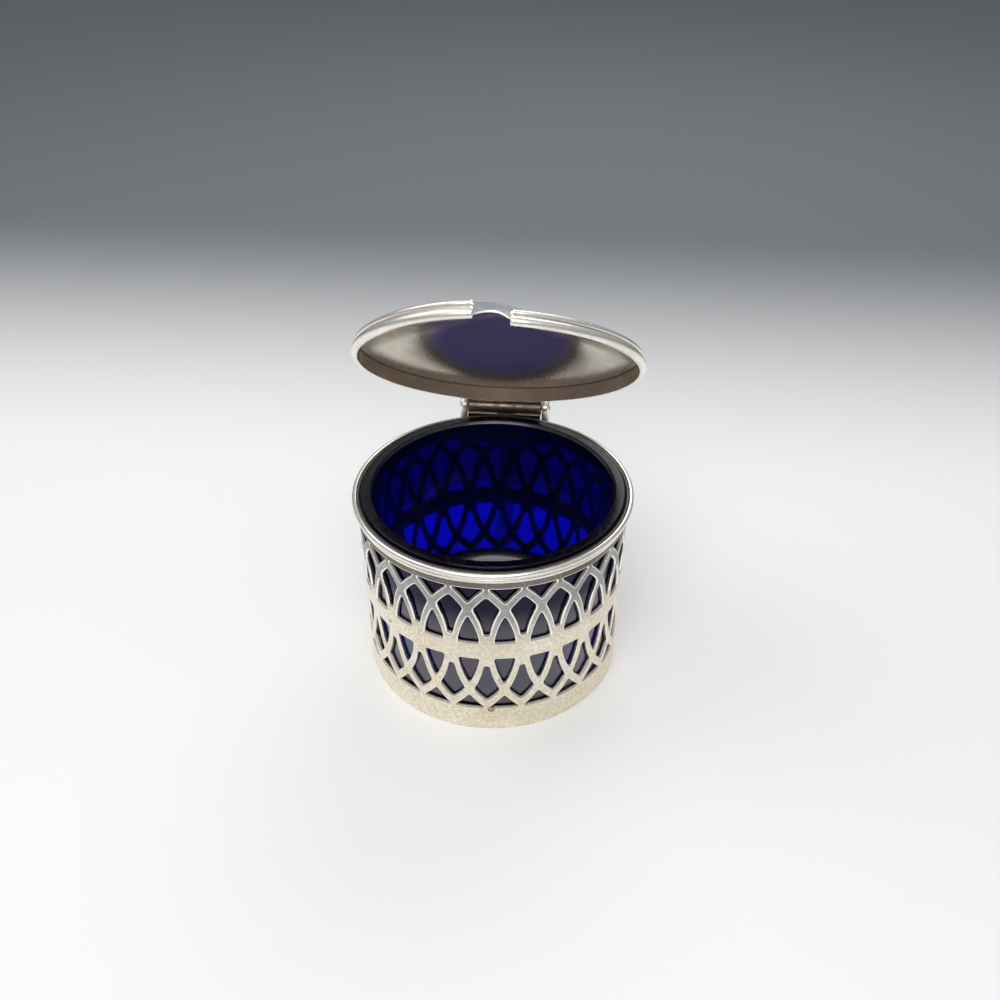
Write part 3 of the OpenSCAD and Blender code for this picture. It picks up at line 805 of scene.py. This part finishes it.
def makeHandle():
    half, thick = handle["width"] / 2, handle["thickness"]
    crown = (half ** 2 + thick ** 2) / (2 * thick)
    reach = math.degrees(math.asin((half - handle["crownInset"]) / crown))
    steps = handle["crownSteps"]
    back = [(y, x) for x, y in arcPoints((0, thick - crown), crown, 90 + reach, 90 - reach, steps)]
    flat = half - handle["flatInset"]
    section = [(handle["flatFrom"], flat), (handle["flatFrom"], -flat)] + back
    centre = Vector((0, handle["bowY"], handle["bowZ"]))
    drop = handle["bowZ"] - handle["legFoot"]
    gap = handle["bowY"] - drumRadius(handle["legFoot"])
    far = math.hypot(drop, gap)
    turn = math.atan2(drop, gap) - math.pi + math.acos(handle["bowRadius"] / far)
    bm = bmesh.new()
    ring = [bm.verts.new((x, centre.y, centre.z + handle["bowRadius"] + out)) for out, x in section]
    sides = [bm.edges.new(pair) for pair in zip(ring, ring[1:] + ring[:1])]
    spun = bmesh.ops.spin(
        bm, geom=ring + sides, cent=centre, axis=(1, 0, 0), dvec=(0, 0, 0),
        angle=turn - math.pi / 2, steps=handle["bowSteps"],
    )["geom_last"]
    leg = Vector((0, math.sin(turn), -math.cos(turn)))
    length = math.sqrt(far ** 2 - handle["bowRadius"] ** 2)
    for i in range(handle["legSteps"]):
        edges = [e for e in spun if isinstance(e, bmesh.types.BMEdge)]
        spun = bmesh.ops.extrude_edge_only(bm, edges=edges)["geom"]
        moved = [v for v in spun if isinstance(v, bmesh.types.BMVert)]
        bmesh.ops.translate(bm, vec=leg * length / handle["legSteps"], verts=moved)
    for vert in moved:  # the leg's end lies against the drum
        for _ in range(handle["fitSteps"]):
            off = vert.co.xy.length - drumRadius(vert.co.z) - handle["seat"]
            vert.co += leg * off * handle["fitShare"]
    bmesh.ops.holes_fill(bm, edges=[e for e in bm.edges if e.is_boundary], sides=0)
    bmesh.ops.recalc_face_normals(bm, faces=bm.faces)
    addPiece(bm, "strap_handle", "body", ["handle"], [drumSilver], 42)


makeHandle()


# small solids keep their shape and get rounded edges; angles in degrees
softEdges = {"segments": 3, "roundFrom": 32, "wornFrom": 19}


def softenNode(part):
    bm = bmesh.new()
    bm.from_mesh(frame["nodes"][part["node"]].data)
    bmesh.ops.scale(bm, vec=(1 / mm, 1 / mm, 1 / mm), verts=bm.verts)
    bmesh.ops.remove_doubles(bm, verts=bm.verts, dist=0.002)
    bmesh.ops.dissolve_limit(bm, angle_limit=math.radians(1), verts=bm.verts, edges=bm.edges)
    top, lip, materials = max(v.co.z for v in bm.verts), part.get("lip"), [part["material"]]
    if lip:
        # the lip is near black: painted shade under the barrel
        materials.append(paintedShadeSilver)
        corners = bmesh.ops.create_cube(bm, size=1)["verts"]
        bmesh.ops.scale(bm, vec=[high - low for low, high in lip], verts=corners)
        bmesh.ops.translate(bm, vec=[(low + high) / 2 for low, high in lip], verts=corners)
    roundFrom, wornFrom = math.radians(softEdges["roundFrom"]), math.radians(softEdges["wornFrom"])
    sharp = [e for e in bm.edges if e.is_manifold and e.calc_face_angle() > roundFrom]
    bmesh.ops.bevel(
        bm, geom=sharp, offset=part["rounding"], offset_type="OFFSET", segments=softEdges["segments"],
        profile=0.5, affect="EDGES", material=-1, clamp_overlap=True,
    )
    for face in bm.faces:
        face.material_index = 1 if lip and face.calc_center_median().z > top + 0.02 else 0
    wornAndHighlight = bm.verts.layers.float.new("wornAndHighlight")
    for edge in bm.edges:
        if edge.is_manifold and edge.calc_face_angle() > wornFrom:
            for vert in edge.verts:
                vert[wornAndHighlight] = part["polishAndHighlight"]
    piece = addPiece(bm, part["name"], part["body"], [part["node"]], materials, 40)
    evenFaces(piece)


thumbFan = {
    "node": "thumbpiece", "name": "thumb_fan", "body": "lid",
    "slot": "lid_silver", "material": mouldingSilver, "rounding": 0.35, "polishAndHighlight": 0.5,
}
hingeLeaf = {
    "node": "lid_leaf", "name": "hinge_leaf", "body": "lid",
    "slot": "hinge_silver", "material": hingeSilver, "rounding": 0.12, "polishAndHighlight": 0.5,
}
middleKnuckle = {
    "node": "lid_knuckle", "name": "middle_knuckle", "body": "lid",
    "slot": "hinge_silver", "material": hingeSilver, "rounding": 0.15, "polishAndHighlight": 0.1,
}
seatBlock = {  # the near-black lip is painted shade that closes the gap under the barrel: ranges of x, y and z
    "node": "hinge_seat", "name": "seat_block", "body": "body",
    "slot": "hinge_silver", "material": mouldingSilver, "rounding": 0.15, "polishAndHighlight": 0.0,
    "lip": ((-8.5, 8.5), (30.1, 30.5), (41.0, 43.65)),
}
pinWire = {
    "node": "hinge_pin", "name": "pin_wire", "body": "body",
    "slot": "hinge_silver", "material": hingeSilver, "rounding": 0.1, "polishAndHighlight": 0.5,
}
floorDisc = {
    "node": "base_plate", "name": "floor_disc", "body": "body",
    "slot": "drum_silver", "material": hiddenSilver, "rounding": 0.15, "polishAndHighlight": 0.5,
}
for part in (thumbFan, hingeLeaf, middleKnuckle, seatBlock, pinWire, floorDisc):
    softenNode(part)

# ears of the hinge: the end of a knuckle on an arm, rounded over on its outer side
ear = {
    "from": 8.8, "to": 10.5, "knuckle": 2.0, "knuckleSteps": 24, "seatY": 30.58, "seatLow": 37.67,
    "seatHigh": 41.27, "rounding": 0.75, "segments": 5,
    "highlightFrom": 9.0, "highlightWidth": 0.9, "highlightLow": 42, "highlightHeight": 2,
}


def makeEar(name, node, way):
    top = arcPoints((hingePlace.y, hingePlace.z), ear["knuckle"], 0, 180, ear["knuckleSteps"])
    outline = top + [(ear["seatY"], ear["seatHigh"]), (ear["seatY"], ear["seatLow"])]
    bm = bmesh.new()
    bm.faces.new([bm.verts.new((way * ear["from"], y, z)) for y, z in outline])
    sides = bmesh.ops.extrude_face_region(bm, geom=bm.faces[:], use_keep_orig=True)["geom"]
    far = [v for v in sides if isinstance(v, bmesh.types.BMVert)]
    bmesh.ops.translate(bm, vec=(way * (ear["to"] - ear["from"]), 0, 0), verts=far)
    bmesh.ops.recalc_face_normals(bm, faces=bm.faces)
    outer = [e for e in bm.edges if all(abs(v.co.x) > ear["to"] - 0.01 for v in e.verts)]
    bmesh.ops.bevel(
        bm, geom=outer, offset=ear["rounding"], offset_type="OFFSET", segments=ear["segments"],
        profile=0.5, affect="EDGES", material=-1, clamp_overlap=False,
    )
    bmesh.ops.recalc_face_normals(bm, faces=bm.faces)

    # painted highlight: the outer top of each ear is painted bright
    def polishAndHighlight(place, radius):
        outward = smoothStep((abs(place.x) - ear["highlightFrom"]) / ear["highlightWidth"])
        return outward * smoothStep((place.z - ear["highlightLow"]) / ear["highlightHeight"])

    paintPoints(bm, "wornAndHighlight", polishAndHighlight)
    addPiece(bm, name, "body", [node], [hingeSilver], 50)


makeEar("left_ear", "body_knuckle_left", -1)
makeEar("right_ear", "body_knuckle_right", 1)

# floor, light and camera
studio = {
    "floor": (0.88, 0.875, 0.86, 1), "floorFar": (0.19, 0.2, 0.215, 1), "fade": (60, 260), "floorSize": 1.2,
    "floorRoughness": 0.8,
    "horizon": (0.3, 0.31, 0.33, 1), "zenith": (0.55, 0.56, 0.58, 1), "sky": (0.1, 0.9),
    "lamps": [  # place and aim in millimetres, width in millimetres, watts
        ((-15, -340, 440), (0, 0, 40), 440, 1.5),
        ((-330, 60, 420), (0, 0, 40), 340, 0.44),
        ((80, 400, 430), (0, 0, 40), 360, 0.7),
    ],
}


def makeStudio():
    bm = bmesh.new()
    bmesh.ops.create_grid(bm, x_segments=1, y_segments=1, size=studio["floorSize"])
    mesh = bpy.data.meshes.new("studio_floor")
    bm.to_mesh(mesh)
    bm.free()
    floor = bpy.data.objects.new("studio_floor", mesh)
    bpy.context.scene.collection.objects.link(floor)
    material, tree, shader = startMaterial("paleFloor")
    near, far = studio["fade"]
    fade = remap(tree, objectPart(tree, "Y"), near * mm, far * mm)
    tree.links.new(mixColour(tree, fade, studio["floor"], studio["floorFar"]), shader.inputs["Base Color"])
    shader.inputs["Roughness"].default_value = studio["floorRoughness"]
    shader.inputs["Specular IOR Level"].default_value = 0.0
    mesh.materials.append(material)
    for i, (place, aim, width, power) in enumerate(studio["lamps"]):
        lamp = bpy.data.lights.new(f"softbox{i}", "AREA")
        lamp.shape, lamp.size, lamp.energy = "DISK", width * mm, power
        holder = bpy.data.objects.new(f"softbox{i}", lamp)
        holder.location = Vector(place) * mm
        holder.rotation_euler = (Vector(place) - Vector(aim)).to_track_quat("Z", "Y").to_euler()
        bpy.context.scene.collection.objects.link(holder)
    world = bpy.data.worlds.new("studio")
    world.use_nodes = True
    tree = world.node_tree
    height = addNode(tree, "ShaderNodeSeparateXYZ")
    tree.links.new(addNode(tree, "ShaderNodeTexCoord").outputs["Generated"], height.inputs[0])
    rise = remap(tree, height.outputs["Z"], *studio["sky"])
    sky = mixColour(tree, rise, studio["horizon"], studio["zenith"])
    tree.links.new(sky, tree.nodes["Background"].inputs["Color"])
    bpy.context.scene.world = world


# the photograph's view: lengths in millimetres, angles in degrees
viewpoint = {
    "place": (17.13, -191.44, 177.41), "tilt": 54.521, "turn": 4.664, "roll": 0.086,
    "lens": 39.507, "sensor": 36.0, "nearest": 5,
}


def makeCamera():
    data = bpy.data.cameras.new("viewpoint")
    data.lens, data.sensor_width = viewpoint["lens"], viewpoint["sensor"]
    data.clip_start = viewpoint["nearest"] * mm
    camera = bpy.data.objects.new("viewpoint", data)
    aim = Euler((math.radians(viewpoint["tilt"]), 0, math.radians(viewpoint["turn"]))).to_matrix()
    aim = aim @ Matrix.Rotation(math.radians(viewpoint["roll"]), 3, "Z")
    camera.matrix_world = Matrix.Translation(Vector(viewpoint["place"]) * mm) @ aim.to_4x4()
    bpy.context.scene.collection.objects.link(camera)
    bpy.context.scene.camera = camera


makeStudio()
makeCamera()
bpy.context.scene.view_settings.view_transform = "Standard"
print("studio: floor, softboxes and camera")
